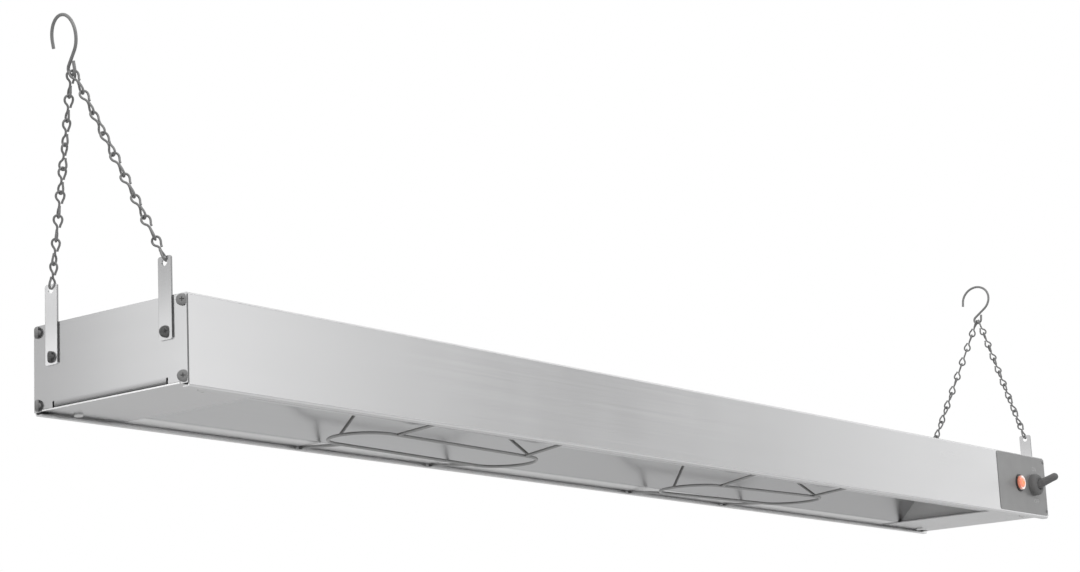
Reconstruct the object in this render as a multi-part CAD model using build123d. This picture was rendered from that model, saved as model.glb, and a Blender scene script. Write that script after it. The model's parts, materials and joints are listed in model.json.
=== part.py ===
from build123d import *
import os
from math import acos, asin, atan2, cos, degrees, hypot, radians, sin, tan

# A ceiling-hung strip heat lamp, in millimetres. +X runs along the housing, -Y is the
# front with the switch, +Z is up. The origin is the centre of the flat top face.

# Housing: a folded channel, open below, with a narrow lip turned in along each bottom edge
housing_length = 1219.2
housing_width = 146.05
housing_height = 62.0
housing_sheet = 1.0
housing_bend = 0.8
lip_width = 6.0
lug_width = 9.0
lug_height = 9.0

# End plates
end_sheet = 1.2
end_margin = 0.15
end_bottom = 2.4
end_top_drop = 0.5
end_corner_radius = 2.0
end_flange_width = 106.4
end_flange_depth = 14.0
end_flange_bend = 0.6
end_notch_width = 1.6
end_notch_height = 8.0
end_foot_width = 7.0

# Machine screws with pan heads and a cross recess
screw_head_radius = 4.0
screw_head_height = 2.6
screw_shank_radius = 2.0
screw_length = 7.0
screw_hole_gap = 0.15
corner_screw_from_side = 4.2
corner_screw_top = 57.0
corner_screw_bottom = 7.0

# Hanger straps
strap_width = 12.0
strap_thickness = 1.25
strap_length = 55.6
strap_bottom = 32.6
strap_from_side = 18.6
strap_corner_radius = 1.75
strap_hole_radius = 2.5
strap_hole_from_top = 4.0
strap_screw_from_bottom = 5.4

# Bottom covers over the two end compartments
cover_sheet = 1.0
cover_side_margin = 7.5
cover_left_length = 73.5
cover_right_length = 94.0
cover_screw_from_side = 14.0
cover_screw_left = 25.8
cover_screw_right = 30.0
cover_screw_head_radius = 3.4
cover_screw_head_height = 2.0
cover_screw_shank_radius = 1.5
cover_screw_length = 6.0

# Reflector trough with flat flanges that run the whole length
reflector_sheet = 0.8
reflector_bend = 0.5
flange_underside = 3.6
flange_upturn = 9.0
flange_end_gap = 15.5
trough_mouth = 94.0
trough_knee_width = 60.0
trough_knee_height = 22.0
trough_top_width = 28.0
trough_top_height = 40.0
trough_end_gap = 0.2
relief_slot_width = 1.8
relief_slot_length = 21.0
relief_slot_from_cover = 0.6

# Bulkheads that close the trough and part it from the end compartments
bulkhead_sheet = 1.0
bulkhead_inside_cover = 5.0
bulkhead_margin = 0.6
bulkhead_foot = 10.0
wireway_width = 9.0
wireway_height = 4.6

# Insulation over the reflector
insulation_gap = 0.3
insulation_side_gap = 6.0
insulation_top_gap = 4.0
insulation_end_gap = 1.5

# Heating element
element_radius = 4.0
element_height = 26.0
element_past_bulkhead = 22.0
pin_radius = 1.6
pin_length = 18.0
pin_inside = 6.0
pin_gap = 0.05
nut_width = 7.0
nut_height = 2.6
bushing_radius = 5.5
bushing_flange_radius = 8.0
bushing_flange = 2.4
bushing_length = 7.0
bushing_gap = 0.1
clip_band = 1.0
clip_gap = 0.15
clip_width = 6.0
clip_foot_width = 14.0
clip_places = (150.0, 546.0, 1000.0)

# Wire guards under the element
guard_wire_radius = 1.2
guard_ring_length = 217.0
guard_ring_width = 54.0
guard_arm_spacing = 152.0
guard_arm_end_from_side = 3.2
guard_seat_gap = 0.1
guard_end_leg_run = 21.0
guard_side_leg_past_arm = 7.0
guard_saddle_gap = 0.25
guard_saddle_angle = 150.0
guard_left_centre = 333.0
guard_left_drop = (0.4, 3.0)
guard_right_centre = 760.0
guard_right_drop = (4.6, 0.6)

# Chain strands: figure-eight links, one eye turned square to the other
chain_wire_radius = 0.8
chain_pitch = 16.3
chain_links = 9
chain_eye_radius = 2.9
chain_play = 0.1
chain_seat = 0.5
chain_foot_inset = 0.5
left_chain_spread = 2.0
right_chain_spread = 2.1
left_sling_lean = -12.7
right_sling_lean = 10.2
left_hook_turn = -102.0
right_hook_turn = -88.0

# How far the links of each strand are turned, from the strap up to the hook, in degrees
left_near_twists = (26, 48, 70, 58, 60, 82, 84, 66, 62)
left_far_twists = (8, 20, 37, 58, 80, 100, 82, 66, 62)
right_near_twists = (-8, -18, -30, -42, -50, -50, -54, -61, -70)
right_far_twists = (-4, -16, -26, -38, -48, -54, -56, -62, -70)

# Hooks bent from wire
hook_wire_radius = 1.15
hook_eye_radius = 3.9
hook_eye_leg = 4.9
hook_throat_radius = 14.9
hook_throat_offset = -2.4
hook_throat_height = 26.4
hook_tip_leg = 4.7

# Control panel on the front, at the right-hand end
label_length = 102.0
label_from_end = 0.6
label_low = 2.5
label_high = 60.8
label_thickness = 0.4
label_corner_radius = 3.0
switch_from_end = 27.4
indicator_from_end = 57.6
control_height = 32.0
indicator_body_radius = 6.1
indicator_body_length = 27.0
indicator_stem_radius = 6.6
indicator_cap_radius = 7.5
indicator_cap_height = 2.4
indicator_cap_edge = 0.5
indicator_dome_radius = 5.4
indicator_dome_height = 1.0
indicator_bezel_radius = 8.7
indicator_bezel_height = 1.1
indicator_bezel_edge = 0.4
panel_hole_gap = 0.15
indicator_blade_rise = 3.0
spade_size = (0.8, 4.8, 7.0)

# Toggle switch
thread_radius = 6.0
thread_bore = 4.9
thread_out = 6.0
switch_nut_width = 15.0
switch_nut_height = 1.8
switch_body_size = (15.0, 24.0, 27.0)
switch_blade_rise = 8.0
boot_radius = 10.8
boot_height = 7.4
boot_mouth_radius = 5.3
boot_edge_radius = 3.6
lever_pivot_out = 6.6
lever_ball_radius = 4.6
lever_reach = 22.4
lever_root_radius = 4.1
lever_tip_radius = 3.8
lever_core_radius = 1.9
lever_core_gap = 0.1
lever_tail = 7.0
lever_lift = 18.0

# Wiring
wire_radius = 1.25
wire_bend = 4.0
wire_gap = 0.3
wire_straight = 9.0
wire_entry_depth = 4.5
return_lead_drop_from_block = 14.0
element_lead_reach = 22.0
switch_lead_rise_from_block = 14.0
lamp_lead_from_block = 8.0
lamp_lead_spacing = 6.0
lamp_lead_before_block = 6.0
lamp_lead_tail = 16.0
earth_lead_drop = 16.0
earth_lead_from_block = 12.0

# Terminal block, earth stud and cord inlet
block_size = (36.0, 18.0, 14.0)
block_from_end = 41.0
block_back = 38.0
block_poles = 3
block_screw_radius = 2.2
block_screw_height = 3.0
stud_radius = 2.0
stud_length = 9.0
stud_from_end = 14.0
stud_height = 44.0
inlet_from_end = 44.0
inlet_height = 31.0
inlet_radius = 7.9
inlet_bore_radius = 4.5
inlet_flange_radius = 11.0
inlet_flange = 3.0
inlet_inside = 12.0

# Places that several pieces share
half_length = housing_length / 2
half_width = housing_width / 2
bottom = -housing_height
front = -half_width
ceiling = -housing_sheet
inner_half_width = half_width - housing_sheet
flange_top = flange_underside + reflector_sheet
left_bulkhead = -half_length + cover_left_length - bulkhead_inside_cover
right_bulkhead = half_length - cover_right_length + bulkhead_inside_cover
strap_top = strap_bottom + strap_length
strap_y = half_width - strap_from_side
strap_middle = end_sheet + strap_thickness / 2
pivot_height = bottom + strap_top - (strap_hole_from_top - strap_hole_radius) / 2
pivot_x = half_length + strap_middle
element_z = bottom + element_height
switch_x = half_length - switch_from_end
indicator_x = half_length - indicator_from_end
control_z = bottom + control_height
panel_face = front - label_thickness

os.makedirs("parts", exist_ok=True)


def save(name, *solids):
    shape = solids[0] if len(solids) == 1 else Compound(children=list(solids))
    export_step(shape, f"parts/{name}.step")


def block(x, y, z):
    """A box between two limits along each axis."""
    size = [abs(b - a) for a, b in (x, y, z)]
    middle = [(a + b) / 2 for a, b in (x, y, z)]
    return Pos(*middle) * Box(*size)


def rod(start, end, radius):
    axis = Vector(*end) - Vector(*start)
    plane = Plane(origin=start, z_dir=axis)
    return plane.location * Cylinder(radius, axis.length, align=(Align.CENTER, Align.CENTER, Align.MIN))


def offset_path(path, distance):
    """The same open line, moved to its left with mitred corners."""
    moved = []
    for i, point in enumerate(path):
        before = path[max(i - 1, 0)]
        after = path[min(i + 1, len(path) - 1)]
        normals = []
        for a, b in ((before, point), (point, after)):
            length = hypot(b[0] - a[0], b[1] - a[1])
            if length > 0:
                normals.append((-(b[1] - a[1]) / length, (b[0] - a[0]) / length))
        nx = sum(n[0] for n in normals)
        ny = sum(n[1] for n in normals)
        scale = distance * len(normals) / (nx * nx + ny * ny)
        moved.append((point[0] + nx * scale, point[1] + ny * scale))
    return moved


def sheet_face(path, thickness, bend):
    """The cross-section of a folded sheet: path is one face, the metal lies to its left."""
    other = offset_path(path, thickness)
    face = make_face(Polyline(*path, *reversed(other), close=True).edges()).face()
    for i in range(1, len(path) - 1):
        (ax, ay), (bx, by), (cx, cy) = path[i - 1 : i + 2]
        left_turn = (bx - ax) * (cy - by) - (by - ay) * (cx - bx) > 0
        path_outside = left_turn == (thickness > 0)
        outer_bend = bend + abs(thickness)
        radii = (outer_bend, bend) if path_outside else (bend, outer_bend)
        for corner, radius in zip((path[i], other[i]), radii):
            vertex = face.vertices().sort_by_distance((*corner, 0))[0]
            face = face.fillet_2d(radius, [vertex])
    return face


def along_x(face, start, end):
    """A cross-section drawn in Y and Z, drawn out from start to end along X."""
    return extrude(Plane.YZ.offset(start) * face, end - start)


def mirrored(path):
    return path + [(-y, z) for y, z in reversed(path)]


def pan_screw(head_radius, head_height, shank_radius, length):
    """A screw along +Z, head up, with the underside of its head at zero."""
    head = Cylinder(head_radius, head_height, align=(Align.CENTER, Align.CENTER, Align.MIN))
    head = fillet(head.edges().sort_by(Axis.Z)[-1], head_height * 0.55)
    slot = Pos(0, 0, head_height) * Box(head_radius * 1.1, head_radius * 0.24, head_height * 0.9)
    shank = Cylinder(shank_radius, length, align=(Align.CENTER, Align.CENTER, Align.MAX))
    return head - slot - Rot(0, 0, 90) * slot + shank


def hexagon_nut(width, height, bore):
    flat = RegularPolygon(width / 2, 6, major_radius=False) - Circle(bore)
    return extrude(flat, height)


def facing(side):
    """Turns +Z outwards, to -X on the left-hand end or to +X on the right-hand end."""
    return Rot(0, 90 * side, 0)


def make_housing():
    path = [
        (-half_width + lip_width, bottom),
        (-half_width, bottom),
        (-half_width, 0),
        (half_width, 0),
        (half_width, bottom),
        (half_width - lip_width, bottom),
    ]
    path.reverse()
    body = along_x(sheet_face(path, housing_sheet, housing_bend), -half_length, half_length)
    for end in (-1, 1):
        for side in (-1, 1):
            for height in (corner_screw_top, corner_screw_bottom):
                lug_x = (end * half_length, end * (half_length - housing_sheet))
                lug_y = (side * (inner_half_width + 0.5), side * (inner_half_width - lug_width))
                middle = bottom + height
                top = min(middle + lug_height / 2, ceiling + 0.5)
                low = max(middle - lug_height / 2, bottom + flange_top)
                body += block(lug_x, lug_y, (low, top))
                hole = (side * (half_width - corner_screw_from_side), middle)
                start = (end * (half_length + 1), *hole)
                stop = (end * (half_length - 2), *hole)
                body -= rod(start, stop, screw_shank_radius + screw_hole_gap)
    for x, radius in ((switch_x, thread_radius), (indicator_x, indicator_body_radius)):
        start = (x, front - 1, control_z)
        stop = (x, front + housing_sheet + 1, control_z)
        body -= rod(start, stop, radius + panel_hole_gap)
    inlet = (half_length - inlet_from_end, bottom + inlet_height)
    start = (inlet[0], half_width + 1, inlet[1])
    stop = (inlet[0], inner_half_width - 1, inlet[1])
    body -= rod(start, stop, inlet_radius + panel_hole_gap)
    return body


def make_end_plate(end):
    """A flat plate with a stiffening flange folded in along its bottom, between two notches."""
    half = half_width - end_margin
    inner = end_flange_width / 2
    notch = inner + end_notch_width / 2
    foot = half_width - end_foot_width
    low = bottom + end_bottom
    raised = bottom + flange_underside + 0.2
    top = -end_top_drop
    outline = Polyline(
        (-half, low), (-foot, low), (-foot, raised), (foot, raised), (foot, low), (half, low), (half, top),
        (-half, top), close=True,
    )
    face = make_face(outline.edges()).face()
    corners = face.vertices().filter_by(lambda v: abs(v.Y - top) < 0.01)
    face = face.fillet_2d(end_corner_radius, corners)
    plate = extrude(Plane.YZ.offset(half_length) * face, end_sheet)
    outside = half_length + end_sheet
    fold_top = raised + end_flange_bend + 2 * end_sheet
    plate -= block((half_length - 1, outside + 1), (-inner, inner), (bottom, fold_top))
    path = [(outside - end_flange_depth, raised), (outside, raised), (outside, fold_top)]
    fold = extrude(Plane.XZ.offset(-inner) * sheet_face(path, end_sheet, end_flange_bend), 2 * inner)
    plate += fold
    for side in (-1, 1):
        middle = side * notch
        low_cut = (middle - end_notch_width / 2, middle + end_notch_width / 2)
        plate -= block((half_length - 1, outside + 1), low_cut, (bottom, bottom + end_notch_height))
        for height in (corner_screw_top, corner_screw_bottom):
            hole = (side * (half_width - corner_screw_from_side), bottom + height)
            plate -= rod((half_length - 1, *hole), (outside + 1, *hole), screw_shank_radius + screw_hole_gap)
        hole = (side * strap_y, bottom + strap_bottom + strap_screw_from_bottom)
        plate -= rod((half_length - 1, *hole), (outside + 1, *hole), screw_shank_radius + screw_hole_gap)
    return plate if end > 0 else mirror(plate, Plane.YZ)


def make_strap(end, side):
    outline = RectangleRounded(strap_width, strap_length, strap_corner_radius)
    middle = strap_length / 2
    outline -= Pos(0, middle - strap_hole_from_top) * Circle(strap_hole_radius)
    outline -= Pos(0, strap_screw_from_bottom - middle) * Circle(screw_shank_radius + screw_hole_gap)
    start = end * (half_length + end_sheet)
    place = Pos(0, side * strap_y, bottom + strap_bottom + middle)
    return place * extrude(Plane.YZ.offset(start) * outline, end * strap_thickness)


def corner_screws():
    screw = pan_screw(screw_head_radius, screw_head_height, screw_shank_radius, screw_length)
    for end in (-1, 1):
        for side in (-1, 1):
            for height in (corner_screw_top, corner_screw_bottom):
                place = (end * (half_length + end_sheet), side * (half_width - corner_screw_from_side), bottom + height)
                yield Pos(*place) * facing(end) * screw


def strap_screws():
    screw = pan_screw(screw_head_radius, screw_head_height, screw_shank_radius, screw_length)
    for end in (-1, 1):
        for side in (-1, 1):
            x = end * (half_length + end_sheet + strap_thickness)
            yield Pos(x, side * strap_y, bottom + strap_bottom + strap_screw_from_bottom) * facing(end) * screw


def cover_screw_x(end):
    inset = cover_screw_left if end < 0 else cover_screw_right
    return end * (half_length - inset)


def make_cover(end):
    length = cover_left_length if end < 0 else cover_right_length
    span = (end * (half_length - length), end * (half_length + end_sheet))
    top = bottom + flange_underside
    half = half_width - cover_side_margin
    cover = block(span, (-half, half), (top - cover_sheet, top))
    for side in (-1, 1):
        hole = (cover_screw_x(end), side * (half_width - cover_screw_from_side))
        cover -= rod((*hole, top - 3), (*hole, top + 1), cover_screw_shank_radius + screw_hole_gap)
    return cover


def cover_screws():
    screw = pan_screw(
        cover_screw_head_radius, cover_screw_head_height, cover_screw_shank_radius, cover_screw_length
    )
    under = bottom + flange_underside - cover_sheet
    for end in (-1, 1):
        for side in (-1, 1):
            place = (cover_screw_x(end), side * (half_width - cover_screw_from_side), under)
            yield Pos(*place) * Rot(180, 0, 0) * screw


def make_reflector():
    """A faceted trough between the bulkheads, on flanges that run on to both ends."""
    side = -inner_half_width
    under = bottom + flange_underside
    flange_path = [(side, under + flange_upturn), (side, under), (-trough_mouth / 2, under)]
    slope_path = [(-trough_knee_width / 2, bottom + trough_knee_height), (-trough_top_width / 2, bottom + trough_top_height)]
    path = mirrored(flange_path + slope_path)
    start = left_bulkhead + bulkhead_sheet + trough_end_gap
    stop = right_bulkhead - bulkhead_sheet - trough_end_gap
    trough = along_x(sheet_face(path, reflector_sheet, reflector_bend), start, stop)
    flat = sheet_face(flange_path, reflector_sheet, reflector_bend)
    for hand in (1, -1):
        strip = along_x(flat, -half_length + flange_end_gap, half_length - flange_end_gap)
        trough += strip if hand > 0 else mirror(strip, Plane.XZ)
    for end, length in ((-1, cover_left_length), (1, cover_right_length)):
        edge = half_length - length - relief_slot_from_cover
        slot_x = sorted((end * edge, end * (edge - relief_slot_width)))
        for hand in (-1, 1):
            slot_y = sorted((hand * (trough_mouth / 2 - 2), hand * (trough_mouth / 2 + relief_slot_length)))
            trough -= block(slot_x, slot_y, (under - 1, under + reflector_sheet + 1))
        for hand in (-1, 1):
            hole = (cover_screw_x(end), hand * (half_width - cover_screw_from_side))
            trough -= rod((*hole, under - 1), (*hole, under + 3), cover_screw_shank_radius + screw_hole_gap)
    return trough


def make_bulkhead(end):
    """A plate across the housing with a foot, a hole for the element and a slot for the wire."""
    at = left_bulkhead if end < 0 else right_bulkhead
    half = inner_half_width - reflector_sheet - bulkhead_margin
    low = bottom + flange_top
    high = ceiling - bulkhead_margin
    outside = (at, at - end * bulkhead_sheet)
    plate = block(outside, (-half, half), (low, high))
    foot_x = (at, at + end * bulkhead_foot)
    for hand in (-1, 1):
        foot_y = (hand * (trough_mouth / 2), hand * half)
        plate += block(foot_x, foot_y, (low, low + bulkhead_sheet))
    plate -= rod((at - 3, 0, element_z), (at + 3, 0, element_z), bushing_radius + bushing_gap)
    plate -= block((at - 3, at + 3), (-wireway_width / 2, wireway_width / 2), (high - wireway_height, high + 1))
    return plate


def make_insulation():
    """A blanket folded over the trough, filling most of the space under the top."""
    clear = insulation_gap + reflector_sheet
    knee = trough_knee_width / 2 + clear * 1.2
    crown = trough_top_width / 2 + clear * 0.6
    half = inner_half_width - insulation_side_gap
    low = bottom + trough_knee_height + clear
    high = ceiling - insulation_top_gap
    points = [
        (-half, low), (-knee, low), (-crown, bottom + trough_top_height + clear),
        (crown, bottom + trough_top_height + clear), (knee, low), (half, low), (half, high), (-half, high),
    ]
    face = make_face(Polyline(*points, close=True).edges()).face()
    start = left_bulkhead + bulkhead_sheet + insulation_end_gap
    return along_x(face, start, right_bulkhead - bulkhead_sheet - insulation_end_gap)


def element_end(end):
    at = left_bulkhead if end < 0 else right_bulkhead
    return at + end * element_past_bulkhead


def make_element():
    tube = rod((element_end(-1), 0, element_z), (element_end(1), 0, element_z), element_radius)
    for end in (-1, 1):
        mouth = element_end(end)
        deep = mouth - end * pin_inside
        tube -= rod((deep, 0, element_z), (mouth + end, 0, element_z), pin_radius + pin_gap)
    return tube


def terminal_pins():
    for end in (-1, 1):
        mouth = element_end(end)
        yield rod((mouth - end * pin_inside, 0, element_z), (mouth + end * pin_length, 0, element_z), pin_radius)


def pin_nut_start(end, number):
    """The nuts on one pin clamp a wire between them."""
    gap = 2 * (wire_radius + wire_gap)
    return element_end(end) + end * (3.0 + number * (nut_height + gap))


def terminal_nuts():
    nut = hexagon_nut(nut_width, nut_height, pin_radius + pin_gap)
    for end in (-1, 1):
        for number in (0, 1):
            yield Pos(pin_nut_start(end, number), 0, element_z) * facing(end) * nut


def make_bushing(end):
    """A ceramic sleeve with a flange that carries the element through its bulkhead."""
    at = left_bulkhead if end < 0 else right_bulkhead
    flange = rod((at, 0, element_z), (at + end * bushing_flange, 0, element_z), bushing_flange_radius)
    sleeve_end = at + end * (bushing_flange - bushing_length)
    sleeve = rod((at, 0, element_z), (sleeve_end, 0, element_z), bushing_radius)
    bore = rod((at - 20, 0, element_z), (at + 20, 0, element_z), element_radius + bushing_gap)
    return flange + sleeve - bore


def make_element_clip(place):
    """A band round the element with a stem and a foot under the top of the trough."""
    x = place - half_length
    inner = element_radius + clip_gap
    outer = inner + clip_band
    x_span = (x - clip_width / 2, x + clip_width / 2)
    underside = bottom + trough_top_height
    band = rod((x_span[0], 0, element_z), (x_span[1], 0, element_z), outer)
    stem = block(x_span, (-clip_band, clip_band), (element_z, underside - clip_band / 2))
    foot = block(x_span, (-clip_foot_width / 2, clip_foot_width / 2), (underside - clip_band, underside))
    bore = rod((x_span[0] - 1, 0, element_z), (x_span[1] + 1, 0, element_z), inner)
    return band + stem + foot - bore


def guard_level(drop, reach):
    """The height of a guard ring's wire at a share of its length from the left."""
    return bottom - drop[0] - (drop[1] - drop[0]) * reach


def make_guard(centre, drop):
    """A long wire ring, four arms that rest on the lips and two legs that cradle the element."""
    middle = centre - half_length
    straight = guard_ring_length - guard_ring_width
    ring_path = SlotOverall(guard_ring_length, guard_ring_width, rotation=0).wire()
    profile = Plane(origin=(0, guard_ring_width / 2, 0), x_dir=(0, 1, 0), z_dir=(1, 0, 0)) * Circle(guard_wire_radius)
    ring = sweep(profile, path=ring_path)
    tilt = degrees(atan2(drop[1] - drop[0], guard_ring_length))
    guard = Pos(middle, 0, guard_level(drop, 0.5)) * Rot(0, tilt, 0) * ring
    rest = bottom + housing_sheet + guard_seat_gap + guard_wire_radius
    for along in (-1, 1):
        x = middle + along * guard_arm_spacing / 2
        level = guard_level(drop, 0.5 + along * guard_arm_spacing / 2 / guard_ring_length)
        for side in (-1, 1):
            lip = (x, side * (half_width - lip_width), rest)
            outer = (x, side * (half_width - guard_arm_end_from_side), rest)
            guard += rod((x, side * guard_ring_width / 2, level), lip, guard_wire_radius)
            guard += Pos(*lip) * Sphere(guard_wire_radius)
            guard += rod(lip, outer, guard_wire_radius)
    saddle = element_radius + guard_saddle_gap + guard_wire_radius
    arc_plane = Plane(origin=(0, 0, 0), x_dir=(0, 1, 0), z_dir=(1, 0, 0))
    start_angle = -90 - guard_saddle_angle / 2
    arc = arc_plane * CenterArc((0, 0), saddle, start_angle, guard_saddle_angle)
    cradle = sweep(Plane(origin=arc @ 0, z_dir=arc % 0) * Circle(guard_wire_radius), path=arc)
    ring_start = middle - guard_ring_length / 2
    end_foot = (ring_start, 0, guard_level(drop, 0))
    side_x = middle + guard_arm_spacing / 2 + guard_side_leg_past_arm
    side_level = guard_level(drop, (side_x - ring_start) / guard_ring_length)
    side_foot = (side_x, -guard_ring_width / 2, side_level)
    for foot, leg_x in ((end_foot, ring_start + guard_end_leg_run), (side_foot, side_x)):
        guard += rod(foot, (leg_x, 0, element_z - saddle), guard_wire_radius)
        guard += Pos(leg_x, 0, element_z) * cradle
    return guard


def s_bend(start, end):
    """Two arcs between two upright ends of a wire, each as start, middle and end point."""
    middle = ((start[0] + end[0]) / 2, (start[1] + end[1]) / 2)
    across = middle[0] - start[0]
    up = middle[1] - start[1]
    radius = (across * across + up * up) / (2 * abs(across))
    half_turn = asin(abs(up) / radius) / 2
    step_across = radius * (1 - cos(half_turn)) * (1 if across > 0 else -1)
    step_up = radius * sin(half_turn) * (1 if up > 0 else -1)
    first = (start[0] + step_across, start[1] + step_up)
    second = (end[0] - step_across, end[1] - step_up)
    return [(start, first, middle), (middle, second, end)]


chain_crown = chain_pitch / 2 + chain_wire_radius + chain_play / 2
chain_centre_to_crown = chain_crown - chain_eye_radius
chain_span = 2 * chain_seat + (chain_links - 1) * chain_pitch + 2 * chain_centre_to_crown


def make_link():
    """One link along Z: its upper eye lies in the YZ plane and its lower eye in the XZ plane."""
    beside = 2 * chain_wire_radius + chain_play
    eye = chain_eye_radius
    shoulder = chain_centre_to_crown
    corner = eye * cos(radians(45))
    arcs = s_bend((-beside, chain_wire_radius * 0.8), (-eye, shoulder))
    arcs += [
        ((-eye, shoulder), (-corner, shoulder + corner), (0, chain_crown)),
        ((0, chain_crown), (corner, shoulder + corner), (eye, shoulder)),
    ]
    arcs += s_bend((eye, shoulder), (0, 0))
    edges = [ThreePointArc(*[(0, across, up) for across, up in arc]) for arc in arcs]
    for arc in reversed(arcs):
        edges.append(ThreePointArc(*[(across, 0, -up) for across, up in reversed(arc)]))
    path = Wire([edge.edge() for edge in edges])
    return sweep(Plane(origin=path @ 0, z_dir=path % 0) * Circle(chain_wire_radius), path=path)


link = make_link()
chain_foot_y = strap_y - chain_foot_inset
sling_height = (chain_span**2 - chain_foot_y**2) ** 0.5


def lean(end):
    """The sling's swing out from the upright, about the line through its two strap holes."""
    angle = left_sling_lean if end < 0 else right_sling_lean
    line = (end * pivot_x, 0, pivot_height)
    return Pos(*line) * Rot(0, angle, 0) * Pos(-line[0], 0, -line[2])


def between(values, share):
    """A value at a share of the way through a list, straight between its neighbours."""
    place = share * (len(values) - 1)
    low = min(int(place), len(values) - 2)
    return values[low] + (values[low + 1] - values[low]) * (place - low)


def make_strand(end, side, turn, twists):
    """The links of one strand, from its strap up to the hook, each turned about the strand."""
    foot = Vector(end * pivot_x, side * chain_foot_y, pivot_height)
    spread = -side * (left_chain_spread if end < 0 else right_chain_spread)
    shift = Vector(spread * cos(radians(turn)), spread * sin(radians(turn)), 0)
    apex = Vector(end * pivot_x, 0, pivot_height + sling_height) + shift
    upward = (apex - foot).normalized()
    across = (Vector(1, 0, 0) - upward * upward.X).normalized()
    links = []
    for number in range(chain_links):
        twist = between(twists, number / (chain_links - 1))
        middle = foot + upward * (chain_seat + chain_centre_to_crown + number * chain_pitch)
        plane = Plane(origin=middle, x_dir=across.rotate(Axis((0, 0, 0), upward), twist), z_dir=upward)
        links.append(lean(end) * plane.location * link)
    return links


def make_hook(end, turn):
    """A wire hook: a small eye below for the chains and a wide open throat above."""
    small = (0.0, hook_eye_radius)
    large = (hook_throat_offset, hook_throat_height)
    reach = hypot(large[0] - small[0], large[1] - small[1])
    along = atan2(large[1] - small[1], large[0] - small[0])
    # The straight part touches the eye on its left and the throat on its right.
    lean_angle = acos((hook_throat_radius + hook_eye_radius) / reach)
    to_small = along + lean_angle
    eye_left = (small[0] + hook_eye_radius * cos(to_small), small[1] + hook_eye_radius * sin(to_small))
    throat_right = (large[0] - hook_throat_radius * cos(to_small), large[1] - hook_throat_radius * sin(to_small))
    edges = [
        Line((small[0] + hook_eye_radius, small[1] + hook_eye_leg), (small[0] + hook_eye_radius, small[1])),
        arc_between(small, hook_eye_radius, 0, degrees(to_small) - 360),
        Line(eye_left, throat_right),
        arc_between(large, hook_throat_radius, degrees(to_small) - 180, 180),
        Line(
            (large[0] - hook_throat_radius, large[1]),
            (large[0] - hook_throat_radius, large[1] - hook_tip_leg),
        ),
    ]
    path = Plane.XZ * Wire([edge.edge() for edge in edges])
    wire = sweep(Plane(origin=path @ 0, z_dir=path % 0) * Circle(hook_wire_radius), path=path)
    place = Pos(end * pivot_x, 0, pivot_height + sling_height) * Rot(0, 0, turn)
    return lean(end) * place * wire


def arc_between(centre, radius, start_angle, end_angle):
    points = []
    for angle in (start_angle, (start_angle + end_angle) / 2, end_angle):
        points.append((centre[0] + radius * cos(radians(angle)), centre[1] + radius * sin(radians(angle))))
    return ThreePointArc(*points)


def front_disc(x, near, far, radius):
    """A cylinder square to the front face, between two Y positions."""
    return rod((x, near, control_z), (x, far, control_z), radius)


def make_label():
    length = label_length
    outline = RectangleRounded(length, label_high - label_low, label_corner_radius)
    middle_x = half_length - label_from_end - length / 2
    middle_z = bottom + (label_high + label_low) / 2
    plane = Plane(origin=(middle_x, front, middle_z), x_dir=(1, 0, 0), z_dir=(0, -1, 0))
    label = extrude(plane * outline, label_thickness)
    label -= front_disc(switch_x, front - 2, front + 2, thread_radius + panel_hole_gap)
    label -= front_disc(indicator_x, front - 2, front + 2, indicator_body_radius + panel_hole_gap)
    return label


def make_indicator_body():
    back = panel_face + indicator_body_length
    body = front_disc(indicator_x, panel_face, back, indicator_body_radius)
    for rise in (-indicator_blade_rise, indicator_blade_rise):
        size = spade_size
        place = Pos(indicator_x, back + size[2] / 2, control_z + rise)
        body += place * Box(size[1], size[2], size[0])
    return body


def make_indicator_lens():
    """A turned shape: a stem inside the bezel, a wider cap on it and a shallow dome in the middle."""
    rim = indicator_bezel_height
    face = rim + indicator_cap_height
    cap_side = face - indicator_cap_edge
    corner = indicator_cap_radius - indicator_cap_edge
    diagonal = indicator_cap_edge * cos(radians(45))
    dome_radius = (indicator_dome_radius**2 + indicator_dome_height**2) / (2 * indicator_dome_height)
    half_angle = asin(indicator_dome_radius / dome_radius) / 2
    top = face + indicator_dome_height
    dome_between = (dome_radius * sin(half_angle), top - dome_radius * (1 - cos(half_angle)))
    outline = Polyline(
        (0, top), (0, 0), (indicator_stem_radius, 0), (indicator_stem_radius, rim),
        (indicator_cap_radius, rim), (indicator_cap_radius, cap_side),
    )
    outline += ThreePointArc(
        (indicator_cap_radius, cap_side), (corner + diagonal, cap_side + diagonal), (corner, face)
    )
    outline += Line((corner, face), (indicator_dome_radius, face))
    outline += ThreePointArc((indicator_dome_radius, face), dome_between, (0, top))
    plane = Plane(origin=(indicator_x, panel_face, control_z), x_dir=(1, 0, 0), z_dir=(0, 0, 1))
    profile = make_face((plane * Rot(0, 0, 180) * outline).edges())
    return revolve(profile, Axis((indicator_x, panel_face, control_z), (0, 1, 0)), 360)


def make_indicator_bezel():
    rim = panel_face - indicator_bezel_height
    ring = front_disc(indicator_x, panel_face, rim, indicator_bezel_radius)
    ring = chamfer(ring.edges().filter_by(GeomType.CIRCLE).sort_by(Axis.Y)[0], indicator_bezel_edge)
    return ring - front_disc(indicator_x, panel_face + 1, rim - 1, indicator_stem_radius + panel_hole_gap)


switch_body_front = front + housing_sheet + switch_nut_height + 0.2
lever_pivot = (switch_x, front - lever_pivot_out, control_z)


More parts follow.
